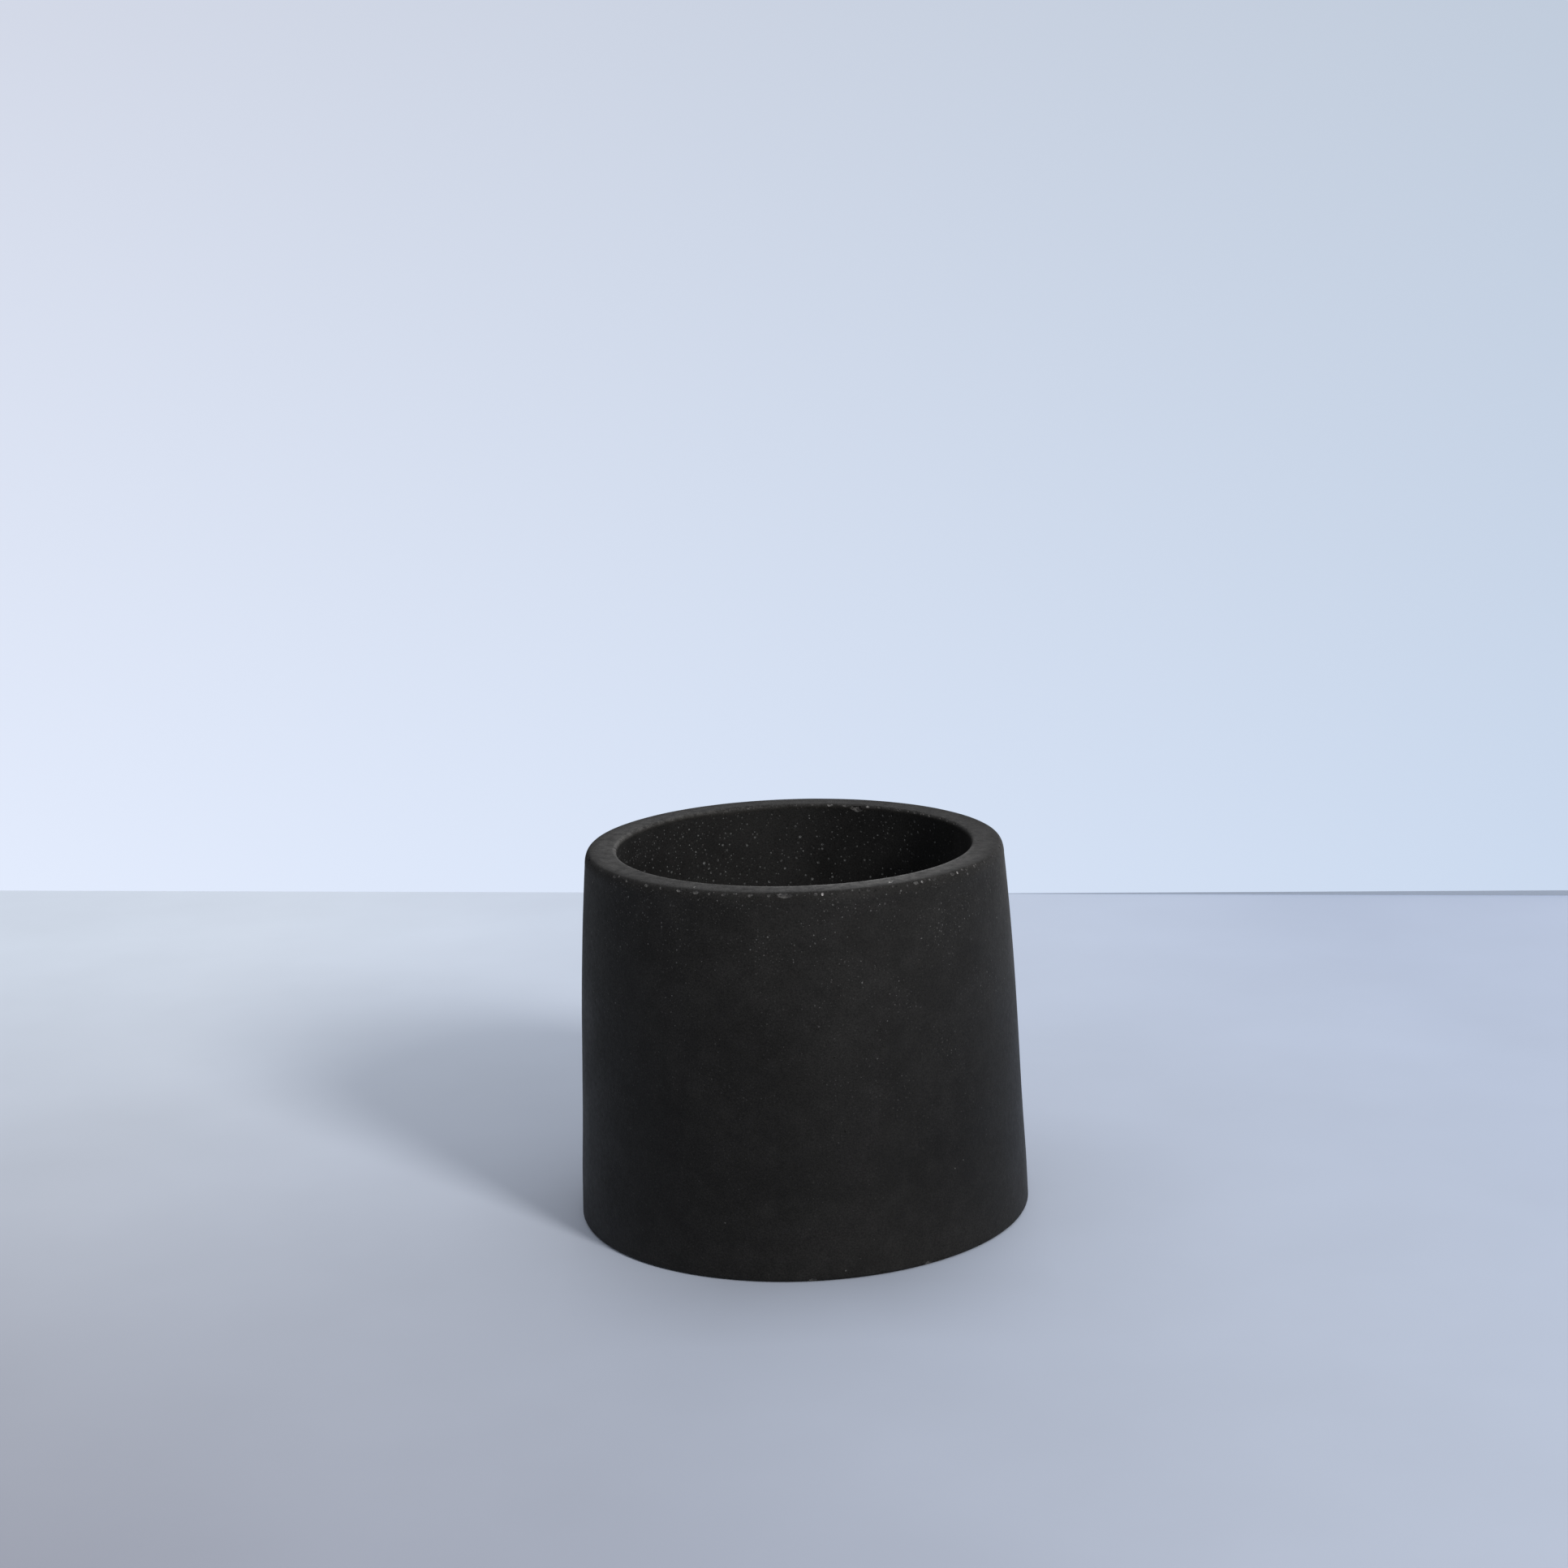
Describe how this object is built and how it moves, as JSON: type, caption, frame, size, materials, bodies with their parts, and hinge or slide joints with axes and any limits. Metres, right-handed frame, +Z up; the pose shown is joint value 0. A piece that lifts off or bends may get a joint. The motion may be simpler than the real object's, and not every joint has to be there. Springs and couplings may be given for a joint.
{
  "type": "candle jar",
  "caption": "Empty tapered candle jar cast in black-pigmented concrete, wider at the foot, with a flat rim, a straight round cavity and a clear sealer film inside.",
  "frame": {"origin": "centre of the jar's underside, on the surface that it stands on", "axes": "+Z up along the jar's axis from the underside to the rim; the jar is round, so +X and +Y are any two directions square to it"},
  "size_m": [0.088, 0.088, 0.073],
  "materials": {
    "black_concrete": "matte cast concrete pigmented black, fine pores, pale dusty bloom",
    "sealed_concrete": "cured clear sealer over black concrete, deeper black with a faint sheen, pale lime specks"
  },
  "bodies": {
    "root": {"cast_body": "black_concrete", "sealer_lining": "sealed_concrete"}
  },
  "joints": []
}
